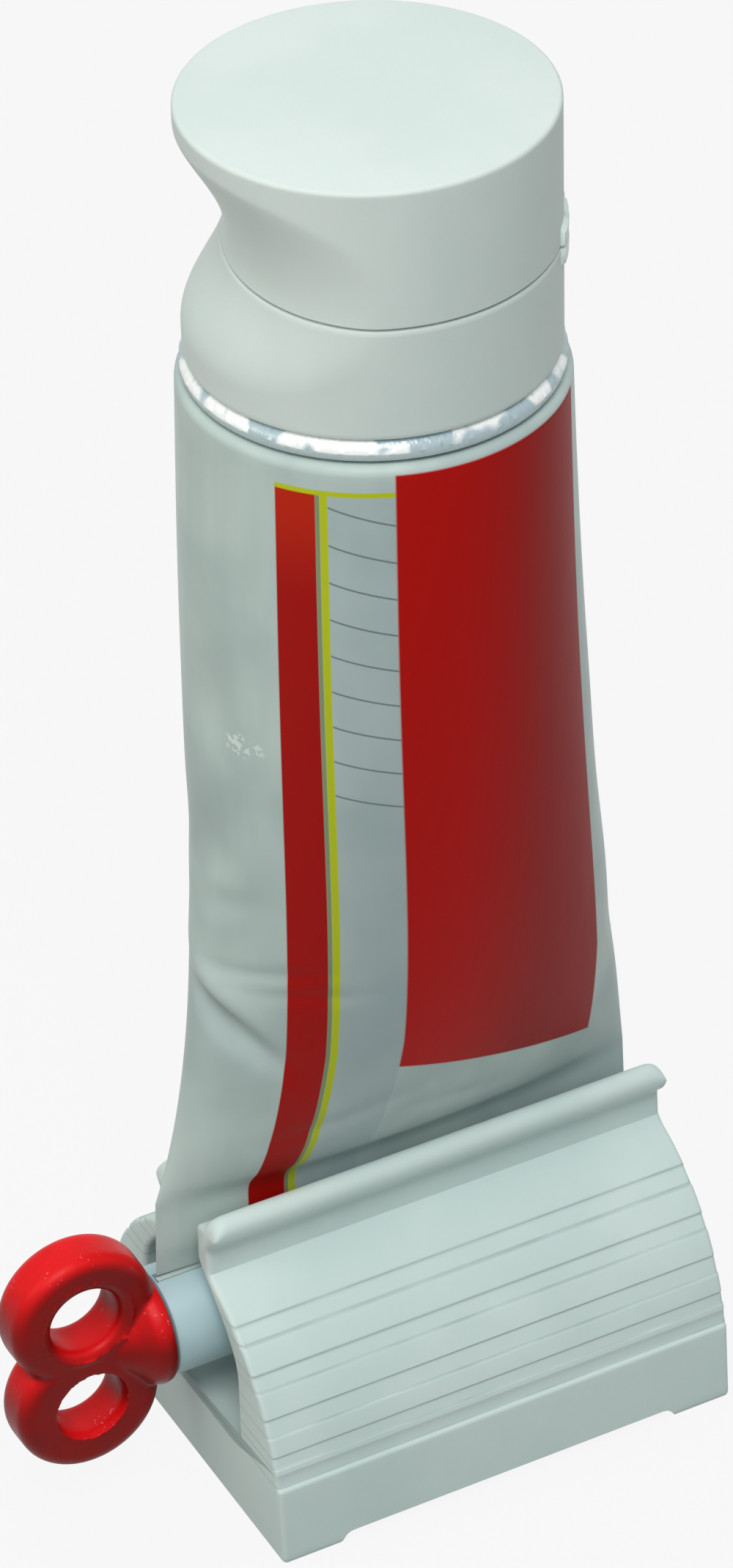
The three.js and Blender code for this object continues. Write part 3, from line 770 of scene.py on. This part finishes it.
def core_hollow():
    """The cored underside, open at the base."""
    side = CHANNEL_SIDE + SKIN
    top = CHANNEL_SIDE_TOP - 4
    middle = (PLINTH_HEIGHT + top) / 2
    half = [
        (HALF_DEPTH - SKIN, -2),
        (VAULT_DEPTH - SKIN, PLINTH_HEIGHT - SKIN),
        (vault_depth(middle) - SKIN - GROOVE_DEPTH, middle),
        (max(vault_depth(top) - SKIN - GROOVE_DEPTH, side + 0.5), top),
        (side, top),
        (side, CHANNEL_FLOOR - SKIN),
    ]
    loop = np.array(half + [(-y, z) for y, z in reversed(half)], float)
    reach = HALF_LENGTH - SKIN
    return lofted([[(STAND_X + x, y, z) for y, z in loop] for x in (-reach, reach)])


def foot_notch():
    """The gap under each long side between the feet, with eased ends."""
    end = HALF_LENGTH - FOOT_LENGTH
    ease = bezier(
        (end + FOOT_HEIGHT, 0),
        (end + FOOT_HEIGHT / 3, 0),
        (end + FOOT_HEIGHT / 2, FOOT_HEIGHT),
        (end - FOOT_HEIGHT / 2, FOOT_HEIGHT),
        8,
    )
    half = [(end + FOOT_HEIGHT, -2), *ease]
    loop = half + [(-x, z) for x, z in reversed(half)]
    return lofted([[(STAND_X + x, y, z) for x, z in loop] for y in (-HALF_DEPTH - 2, HALF_DEPTH + 2)])


# Winding key


ALONG_X = Matrix.Rotation(math.pi / 2, 4, "Y")
ALONG_Y = Matrix.Rotation(-math.pi / 2, 4, "X")


def winding_shaft(material):
    """The shaft, with its spigot in the handle and its slot open at the far end."""
    start = SHAFT_LOW[0] + SPIGOT_LENGTH
    end = SHAFT_HIGH[0]
    rod = scratch(
        *turned([
            (0, SHAFT_LOW[0]),
            (SPIGOT_RADIUS - 0.4, SHAFT_LOW[0]),
            (SPIGOT_RADIUS, SHAFT_LOW[0] + 0.4),
            (SPIGOT_RADIUS, start),
            (SHAFT_RADIUS - 0.5, start),
            (SHAFT_RADIUS - 0.15, start + 0.15),
            (SHAFT_RADIUS, start + 0.5),
            (SHAFT_RADIUS, end - 0.8),
            (SHAFT_RADIUS - 0.25, end - 0.25),
            (SHAFT_RADIUS - 0.8, end),
            (0, end),
        ], 128),
        Matrix.Translation((0, 0, SHAFT_HEIGHT * MM)) @ ALONG_X,
    )
    top, side = SHAFT_HEIGHT + SHAFT_RADIUS + 2, SLOT_WIDTH / 2
    bottom = SHAFT_HEIGHT - SHAFT_RADIUS - 2
    ring = [(-side, bottom), (side, bottom), (side, top), (-side, top)]
    slot = scratch(*lofted([[(x, y, z) for y, z in ring] for x in (start + GAP, end + 2)]))
    joined(rod, [slot], "DIFFERENCE")
    return dressed("winding_shaft", result(rod, slot), material, "key", "shaft", "key_shaft")


def wing_handle(material):
    """The figure-of-eight handle: two rings run together and blended into a collar."""
    face = WING_THICKNESS / 2
    place = [
        Matrix.Translation((WING_X * MM, 0, (WING_HEIGHT + side * WING_RING_SPACING / 2) * MM)) @ ALONG_Y
        for side in (-1, 1)
    ]
    rim = []
    for t in np.linspace(-math.pi / 2, math.pi / 2, 13):
        r, y = WING_EDGE * math.cos(t), WING_EDGE * math.sin(t)
        rim.append((WING_RING_RADIUS - WING_EDGE + r, math.copysign(face - WING_EDGE, t) + y))
    disc = [(0, -face), *rim, (0, face)]
    flare = []
    for t in np.linspace(0, math.pi / 2, 7):
        out, painted_shade_red = WING_HOLE_EDGE * (1 - math.sin(t)), WING_HOLE_EDGE * (1 - math.cos(t))
        flare.append((WING_HOLE_RADIUS + out, -face + painted_shade_red))
    half = [(0, -COLLAR_RADIUS - 2), (flare[0][0], -COLLAR_RADIUS - 2), *flare]
    hole = half + [(r, -y) for r, y in reversed(half)]
    end = WING_HIGH[0]
    collar = [
        (0, end - COLLAR_LENGTH - COLLAR_TAPER),
        (face - 0.4, end - COLLAR_LENGTH - COLLAR_TAPER),
        ((COLLAR_RADIUS + face) / 2, end - COLLAR_LENGTH - COLLAR_TAPER / 3),
        (COLLAR_RADIUS - 0.4, end - COLLAR_LENGTH),
        (COLLAR_RADIUS, end - COLLAR_LENGTH / 2),
        (COLLAR_RADIUS - 0.3, end),
        (0, end),
    ]
    socket = [
        (0, end - SPIGOT_LENGTH - 2 * GAP),
        (SPIGOT_RADIUS + GAP, end - SPIGOT_LENGTH - 2 * GAP),
        (SPIGOT_RADIUS + GAP, end + 2),
        (0, end + 2),
    ]
    on_shaft = Matrix.Translation((0, 0, SHAFT_HEIGHT * MM)) @ ALONG_X
    body = scratch(*turned(collar, 96), on_shaft)
    discs = [scratch(*turned(disc, 96), m) for m in place]
    tools = [scratch(*turned(hole, 96), m) for m in place] + [scratch(*turned(socket, 64), on_shaft)]
    joined(body, discs, "UNION")
    joined(body, tools, "DIFFERENCE")
    remesh = body.modifiers.new("even skin", "REMESH")
    remesh.mode = "VOXEL"
    remesh.voxel_size = WING_VOXEL * MM
    relax = body.modifiers.new("moulded radii", "SMOOTH")
    relax.factor = 0.5
    relax.iterations = 8
    mesh = result(body, *discs, *tools)
    return dressed("wing_handle", mesh, material, "key", "wing", "key_wing", sharp=60)


# Tube

# Each dent: millimetres round from the front, height, depth, half length, half width, degrees of slant
DENTS = [
    (-30.0, 74.0, 2.3, 7.5, 1.7, -40),
    (-33.0, 79.5, -0.8, 7.0, 2.4, -32),
    (-26.0, 83.5, 0.35, 8.0, 1.1, 3),
    (-20.0, 80.0, 0.3, 7.0, 1.0, -4),
    (-36.0, 123.0, 0.7, 6.0, 5.0, 80),
    (-35.5, 100.0, 0.9, 7.0, 4.0, 75),
    (-33.0, 93.0, 0.4, 6.0, 2.0, 20),
    (33.0, 96.0, 0.25, 12.0, 5.0, 100),
    (34.0, 70.0, 0.3, 10.0, 4.0, 70),
    (-12.0, 56.0, 0.35, 9.0, 1.6, 12),
    (4.0, 53.0, 0.3, 9.0, 1.5, -10),
    (58.0, 85.0, 1.0, 14.0, 5.0, 25),
    (-58.0, 105.0, 0.9, 13.0, 5.0, -20),
    (76.0, 120.0, 0.6, 16.0, 6.0, 80),
]
SLEEVE_SEGMENTS = 200


def bulge(z):
    """Half depth of the sleeve at a height, before it is eased where it leaves the lips."""
    if z <= LIP_TOP:
        t = smooth((z - TUBE_BOTTOM) / (LIP_TOP - LIP_HEIGHT - TUBE_BOTTOM))
        return SEAL_HALF_THICKNESS + (TAIL_HALF_THICKNESS - SEAL_HALF_THICKNESS) * t
    flat = (TUBE_TOP - min(z, TUBE_TOP)) / (TUBE_TOP - LIP_TOP)
    fullness = (1 - flat ** BULGE_ONSET) ** BULGE_ROUNDNESS
    return TAIL_HALF_THICKNESS + (TUBE_RADIUS - TAIL_HALF_THICKNESS) * fullness


def sleeve_size(z):
    """Half width, half depth and middle of the sleeve at a height."""
    near_lips = abs(z - LIP_TOP) < 4 * BULGE_EASE
    spread = np.linspace(-BULGE_EASE, BULGE_EASE, 9) if near_lips else [0.0]
    depth = float(np.mean([bulge(z + step) for step in spread]))
    if z <= LIP_TOP:
        narrow = (z - TUBE_BOTTOM) / (LIP_TOP - TUBE_BOTTOM)
        tail = (SLEEVE_HIGH[0] - SLEEVE_LOW[0]) / 2
        return tail - (tail - TAIL_HALF_WIDTH) * narrow, depth, TUBE_X
    up = (z - LIP_TOP) / (TUBE_TOP - LIP_TOP)
    flat = 1 - up
    widening = sum(share * flat ** power for share, power in WIDENING)
    width = TUBE_RADIUS + (TAIL_HALF_WIDTH - TUBE_RADIUS) * widening
    return width, depth, TUBE_X + BELLY_SHIFT * BELLY_SCALE * flat ** BELLY_POWER * up


def sleeve_ring(z, inset):
    """One level of the sleeve with its distance round from the front, as points and distances."""
    width, depth, middle = sleeve_size(z)
    sharp = 1 - EDGE_SHARPNESS * max(0, 1 - depth / TUBE_RADIUS)
    turn = -math.pi / 2 + np.linspace(-math.pi, math.pi, SLEEVE_SEGMENTS + 1)
    across = np.sign(np.sin(turn)) * np.abs(np.sin(turn)) ** (1 / sharp)
    x = middle + (width - inset) * np.cos(turn)
    y = (depth - inset) * across
    steps = np.hypot(np.diff(x), np.diff(y))
    around = np.concatenate([[0], np.cumsum(steps)])
    around -= around[SLEEVE_SEGMENTS // 2]
    return x, y, around


def dented(x, y, around, z):
    """Pushes a level's points in along its normals, where the laminate is dented."""
    ahead = np.stack([np.gradient(x), np.gradient(y)], 1)
    normals = np.stack([ahead[:, 1], -ahead[:, 0]], 1)
    normals /= np.maximum(np.linalg.norm(normals, axis=1, keepdims=True), 1e-9)
    depth = np.zeros_like(around)
    for middle, height, push, half_length, half_width, slant in DENTS:
        across, up = around - middle, z - height
        s, c = math.sin(math.radians(slant)), math.cos(math.radians(slant))
        along = (across * c + up * s) / half_length
        aside = (up * c - across * s) / half_width
        depth += push * np.exp(-along * along - aside * aside)
    return x - normals[:, 0] * depth, y - normals[:, 1] * depth


def tube_skin(material):
    """The sleeve with its dents, and with its points' places on the unrolled print as a UV map."""
    low = np.linspace(TUBE_BOTTOM, LIP_TOP, 12)[:-1]
    high = LIP_TOP + (TUBE_TOP - TUBE_TOP_ROUND - LIP_TOP) * np.linspace(0, 1, 150) ** 1.2
    levels = [(z, 0.0) for z in [*low, *high]]
    for t in np.linspace(0, math.pi / 2, 8)[1:]:
        levels.append((TUBE_TOP - TUBE_TOP_ROUND * (1 - math.sin(t)), TUBE_TOP_ROUND * (1 - math.cos(t))))
    points, layout = [], []
    for z, inset in levels:
        x, y, around = sleeve_ring(z, inset)
        fade = float(smooth((z - LIP_TOP - 1) / 4))
        if fade > 0:
            dented_x, dented_y = dented(x, y, around, z)
            x, y = x + fade * (dented_x - x), y + fade * (dented_y - y)
        points += [(a, b, z) for a, b in zip(x, y)]
        layout += [(u, z) for u in around]
    count = SLEEVE_SEGMENTS + 1
    faces = [
        (r * count + i, r * count + i + 1, (r + 1) * count + i + 1, (r + 1) * count + i)
        for r in range(len(levels) - 1)
        for i in range(SLEEVE_SEGMENTS)
    ]
    last = (len(levels) - 1) * count
    faces.append(tuple(reversed(range(SLEEVE_SEGMENTS))))
    faces.append(tuple(last + i for i in range(SLEEVE_SEGMENTS)))
    mesh = as_mesh("tube_skin", points, faces)
    unrolled = mesh.uv_layers.new(name="unrolled")
    corner_points = np.empty(len(mesh.loops), np.int32)
    mesh.loops.foreach_get("vertex_index", corner_points)
    unrolled.data.foreach_set("uv", np.array(layout, np.float32)[corner_points].ravel())
    return dressed("tube_skin", mesh, material, "stand", "sleeve", "tube_sleeve")


def crimped_end(material):
    """The sealed end of the tube, pressed flat with fine crimp lines across it."""
    columns = np.linspace(TAIL_LOW[0], TAIL_HIGH[0], 90)
    rows = np.linspace(TAIL_LOW[2], TAIL_HIGH[2], 60)
    half = TAIL_HIGH[1]
    rings = []
    for z in rows:
        turn = 2 * math.pi * (z - rows[0]) / CRIMP_PITCH
        ripple = half * (1 - CRIMP_DEPTH * (0.5 + 0.5 * math.cos(turn)))
        front = [(x, -ripple, z) for x in columns]
        back = [(x, ripple, z) for x in reversed(columns)]
        rings.append(front + back)
    points, faces = lofted(rings)
    return piece("crimped_end", points, faces, material, "tail", "sleeve", "tube_tail_end")


# Shoulder and cap


def foil_shoulder(material):
    """The moulded shoulder under its foil, with a crinkled rim that shows below the collar."""
    rim = SHOULDER_RADIUS
    bottom = SHOULDER_LOW[2]
    top = bottom + SHOULDER_RISE

    def profile(azimuth):
        crinkle = 0.04 * math.sin(46 * azimuth) + 0.03 * math.sin(71 * azimuth + 1.3)
        return [
            (0, bottom),
            (rim - 1.6, bottom),
            (rim - 0.35, bottom + 0.35),
            (rim - 0.15 + crinkle, bottom + 0.9),
            (rim - 0.15 - crinkle, bottom + 1.5),
            (rim - 0.5 + crinkle, bottom + 2.1),
            (rim - 1.2, bottom + 2.7),
            (NECK_RADIUS + 1, top),
            (NECK_RADIUS, top + 0.6),
            (NECK_RADIUS, top + NECK_HEIGHT - 0.5),
            (NECK_RADIUS - 0.5, top + NECK_HEIGHT),
            (BORE_RADIUS, top + NECK_HEIGHT),
            (BORE_RADIUS, top - 2),
            (0, top - 2),
        ]

    points, faces = revolved(profile, 288, TUBE_X)
    return piece("foil_shoulder", points, faces, material, "stand", "foil", "tube_shoulder")


def thumb_depth(azimuth, z):
    """How far the thumb recess cuts into the cap at an azimuth and a height."""
    off = abs((azimuth - THUMB_AZIMUTH + math.pi) % (2 * math.pi) - math.pi) / (math.pi / 2)
    if off >= 1:
        return 0.0
    spread = math.sqrt(1 - off ** 4)
    above = z > THUMB_MIDDLE
    reach, fall = (THUMB_REACH_UP, THUMB_FALL_UP) if above else (THUMB_REACH_DOWN, THUMB_FALL_DOWN)
    up = min(1.0, abs(z - THUMB_MIDDLE) / max(reach * spread, 1e-6))
    return THUMB_DEPTH * math.cos(off * math.pi / 2) ** THUMB_FALL_ASIDE * (1 - up * up) ** fall


def side_profile(azimuth, bottom, top, levels, inset=0.0):
    """The cap's side as (radius, height), with the thumb recess in it."""
    return [(CAP_RADIUS - inset - thumb_depth(azimuth, z), z) for z in np.linspace(bottom, top, levels)]


def cap_collar(material):
    """The cap's fixed half, with its deck, orifice and the sleeve that snaps on the neck."""
    bottom, top = COLLAR_LOW[2], COLLAR_HIGH[2]
    deck = top - CAP_DECK
    edge = 0.35
    snap_inner = NECK_RADIUS + GAP
    snap_outer = snap_inner + SNAP_WALL
    snap_bottom = SHOULDER_LOW[2] + SHOULDER_RISE + 1

    def profile(azimuth):
        outer = side_profile(azimuth, bottom + edge, top - edge, 40)
        inner = side_profile(azimuth, deck, bottom, 24, CAP_WALL)
        rim = outer[-1][0]
        return [
            (outer[0][0] - edge, bottom),
            (outer[0][0] - 0.3 * edge, bottom + 0.3 * edge),
            *outer,
            (rim - 0.3 * edge, top - 0.3 * edge),
            (rim - edge, top),
            (ORIFICE_RADIUS + 0.5, top),
            (ORIFICE_RADIUS + 0.1, top - 0.1),
            (ORIFICE_RADIUS, top - 0.5),
            (ORIFICE_RADIUS, deck),
            (snap_inner, deck),
            (snap_inner, snap_bottom),
            (snap_outer, snap_bottom),
            (snap_outer, deck),
            *inner,
            (outer[0][0] - edge, bottom),
        ]

    points, faces = revolved(profile, 240, TUBE_X)
    return piece("cap_collar", points, faces, material, "stand", "cap", "cap_base", sharp=40)


def flip_top(material):
    """The lid, with its plug."""
    bottom, top = PARTING + GAP / 2, LID_HIGH[2]
    ceiling = top - CAP_DECK
    edge = 0.55
    plug = 2.5
    plug_end = LID_LOW[2]

    def profile(azimuth):
        outer = side_profile(azimuth, bottom + 0.25, top - edge, 56)
        inner = side_profile(azimuth, bottom, ceiling, 30, CAP_WALL)
        rim = outer[-1][0]
        rounding = [
            (rim - edge * (1 - math.cos(t)), top - edge * (1 - math.sin(t)))
            for t in np.linspace(0, math.pi / 2, 7)[1:]
        ]
        foot = outer[0][0]
        return [
            (0, plug_end),
            (plug - 0.4, plug_end),
            (plug, plug_end + 0.4),
            (plug, ceiling),
            *reversed(inner),
            (foot - 0.25, bottom),
            *outer,
            *rounding,
            (rim * 0.6, top),
            (0, top),
        ]

    points, faces = revolved(profile, 240, TUBE_X)
    return piece("flip_top", points, faces, material, "lid", "cap", "flip_lid", sharp=40)


def hinge_leaf(name, side, body, material):
    """Three short straps of the film hinge, above or below the parting line."""
    near, far = PARTING + side * GAP, PARTING + side * HINGE_HEIGHT
    root, face = CAP_RADIUS - 0.5, CAP_RADIUS + HINGE_PROUD
    section = [
        (root, near),
        (face - 0.1, near),
        (face, near + side * 0.2),
        (face, far - side * 0.9),
        (root, far),
    ]
    points, faces = [], []
    for strap in (-1, 0, 1):
        middle = HINGE_AZIMUTH + strap * (HINGE_STRAP + HINGE_NOTCH) / CAP_RADIUS
        half = HINGE_STRAP / 2 / CAP_RADIUS
        rings = []
        for turn, drawn_in in HINGE_SECTIONS:
            azimuth = middle + turn * half
            c, s = math.cos(azimuth), math.sin(azimuth)
            rings.append([(TUBE_X + (r - drawn_in) * c, (r - drawn_in) * s, z) for r, z in section])
        strap_points, strap_faces = lofted(rings)
        faces += [tuple(i + len(points) for i in f) for f in strap_faces]
        points += list(strap_points)
    return piece(name, points, faces, material, body, "cap")


# Scene


def camera():
    """The photograph's view, turned by its azimuth, elevation and roll."""
    a, e, r = CAMERA_AZIMUTH, CAMERA_ELEVATION, CAMERA_ROLL
    back = Vector((math.sin(a) * math.cos(e), -math.cos(a) * math.cos(e), math.sin(e)))
    right = (-back).cross(Vector((0, 0, 1))).normalized()
    up = right.cross(-back)
    rolled_right = math.cos(r) * right + math.sin(r) * up
    rolled_up = math.cos(r) * up - math.sin(r) * right
    data = bpy.data.cameras.new("photo_view")
    data.sensor_fit = "VERTICAL"
    data.sensor_height = 36
    data.lens = FOCAL_PIXELS / IMAGE_HEIGHT * data.sensor_height
    data.clip_start = 0.01
    data.clip_end = 20
    turn = Matrix((rolled_right, rolled_up, back)).transposed().to_4x4()
    view = placed("photo_view", data)
    view.matrix_world = Matrix.Translation(CAMERA_PLACE) @ turn
    bpy.context.scene.camera = view


def lamp(name, place, size, energy, colour):
    """A soft square lamp turned towards the object, in metres and watts."""
    data = bpy.data.lights.new(name, "AREA")
    data.size = size
    data.energy = energy
    data.color = colour
    light = placed(name, data)
    light.location = place
    light.rotation_euler = (LIT_POINT - Vector(place)).to_track_quat("-Z", "Y").to_euler()


def seen_as_white(tree):
    """1 for what the camera sees, directly or in a reflection, and 0 for the rays that light things."""
    path = tree.nodes.new("ShaderNodeLightPath")
    seen = path.outputs["Is Camera Ray"]
    for ray in ("Is Glossy Ray", "Is Transmission Ray"):
        either = tree.nodes.new("ShaderNodeMath")
        either.operation = "MAXIMUM"
        tree.links.new(seen, either.inputs[0])
        tree.links.new(path.outputs[ray], either.inputs[1])
        seen = either.outputs[0]
    return seen


def world():
    """A soft sky that is brighter overhead, behind a plain white backdrop."""
    setting = bpy.data.worlds.new("studio")
    setting.use_nodes = True
    tree = setting.node_tree
    tree.nodes.clear()
    output = tree.nodes.new("ShaderNodeOutputWorld")
    backdrop = tree.nodes.new("ShaderNodeBackground")
    backdrop.inputs["Color"].default_value = (1, 1, 1, 1)
    sky = tree.nodes.new("ShaderNodeBackground")
    sky.inputs["Color"].default_value = SKY_COLOUR
    direction = tree.nodes.new("ShaderNodeTexCoord")
    parts = tree.nodes.new("ShaderNodeSeparateXYZ")
    tree.links.new(direction.outputs["Generated"], parts.inputs[0])
    level = tree.nodes.new("ShaderNodeMapRange")
    level.inputs["To Min"].default_value = SKY_AT_HORIZON
    level.inputs["To Max"].default_value = SKY_OVERHEAD
    tree.links.new(parts.outputs["Z"], level.inputs["Value"])
    tree.links.new(level.outputs["Result"], sky.inputs["Strength"])
    mix = tree.nodes.new("ShaderNodeMixShader")
    tree.links.new(seen_as_white(tree), mix.inputs[0])
    tree.links.new(sky.outputs[0], mix.inputs[1])
    tree.links.new(backdrop.outputs[0], mix.inputs[2])
    tree.links.new(mix.outputs[0], output.inputs[0])
    bpy.context.scene.world = setting


def floor():
    """A plain pale floor, which keeps a little of the object's shadow."""
    mesh = bpy.data.meshes.new("floor")
    square = [(x * FLOOR_REACH, y * FLOOR_REACH, 0) for x, y in ((-1, -1), (1, -1), (1, 1), (-1, 1))]
    mesh.from_pydata(square, [], [(0, 1, 2, 3)])
    material = bpy.data.materials.new("pale_floor")
    material.use_nodes = True
    tree = material.node_tree
    tree.nodes.clear()
    output = tree.nodes.new("ShaderNodeOutputMaterial")
    paper = tree.nodes.new("ShaderNodeBsdfDiffuse")
    paper.inputs["Color"].default_value = FLOOR_COLOUR
    glow = tree.nodes.new("ShaderNodeEmission")
    glow.inputs["Strength"].default_value = 1.0
    share = tree.nodes.new("ShaderNodeMath")
    share.operation = "MULTIPLY"
    share.inputs[1].default_value = FLOOR_GLOW
    tree.links.new(seen_as_white(tree), share.inputs[0])
    mix = tree.nodes.new("ShaderNodeMixShader")
    tree.links.new(share.outputs[0], mix.inputs[0])
    tree.links.new(paper.outputs[0], mix.inputs[1])
    tree.links.new(glow.outputs[0], mix.inputs[2])
    tree.links.new(mix.outputs[0], output.inputs[0])
    mesh.materials.append(material)
    placed("floor", mesh)


camera()
world()
floor()
lamp("front", (-0.3, -0.5, 0.95), 0.45, 4.8, (1.0, 1.0, 0.98))
lamp("left", (-0.5, 0.05, 0.4), 0.25, 0.45, (1.0, 0.96, 0.78))
bpy.context.scene.view_settings.view_transform = "Standard"

# Heights of the painted shade lines on the stand: the grooves' edges and the plinth's step.
groove_lines = [edge for groove in GROOVES for edge in groove] + [PLINTH_HEIGHT + PLINTH_STEP]
stand_light, stand_dark = shade(217, 230, 228), shade(208, 223, 221)
white_plastic = plastic("white_plastic", stand_light, stand_dark, 0.42, lines=groove_lines)
cap_plastic = plastic("cap_plastic", shade(223, 230, 228), shade(216, 225, 223), 0.45, seed=5.0)
hinge_plastic = plastic("hinge_plastic", shade(244, 250, 246), shade(236, 244, 240), 0.35, seed=2.0)
shaft_plastic = plastic("shaft_plastic", shade(190, 214, 220), shade(180, 206, 213), 0.4, seed=9.0)
handle_red = red_plastic()
sleeve_print = printed_sleeve()
bright_foil = foil()

stand_moulding(white_plastic)
winding_shaft(shaft_plastic)
wing_handle(handle_red)
tube_skin(sleeve_print)
crimped_end(sleeve_print)
foil_shoulder(bright_foil)
cap_collar(cap_plastic)
flip_top(cap_plastic)
hinge_leaf("hinge_leaf_lower", -1, "stand", hinge_plastic)
hinge_leaf("hinge_leaf_upper", 1, "lid", hinge_plastic)
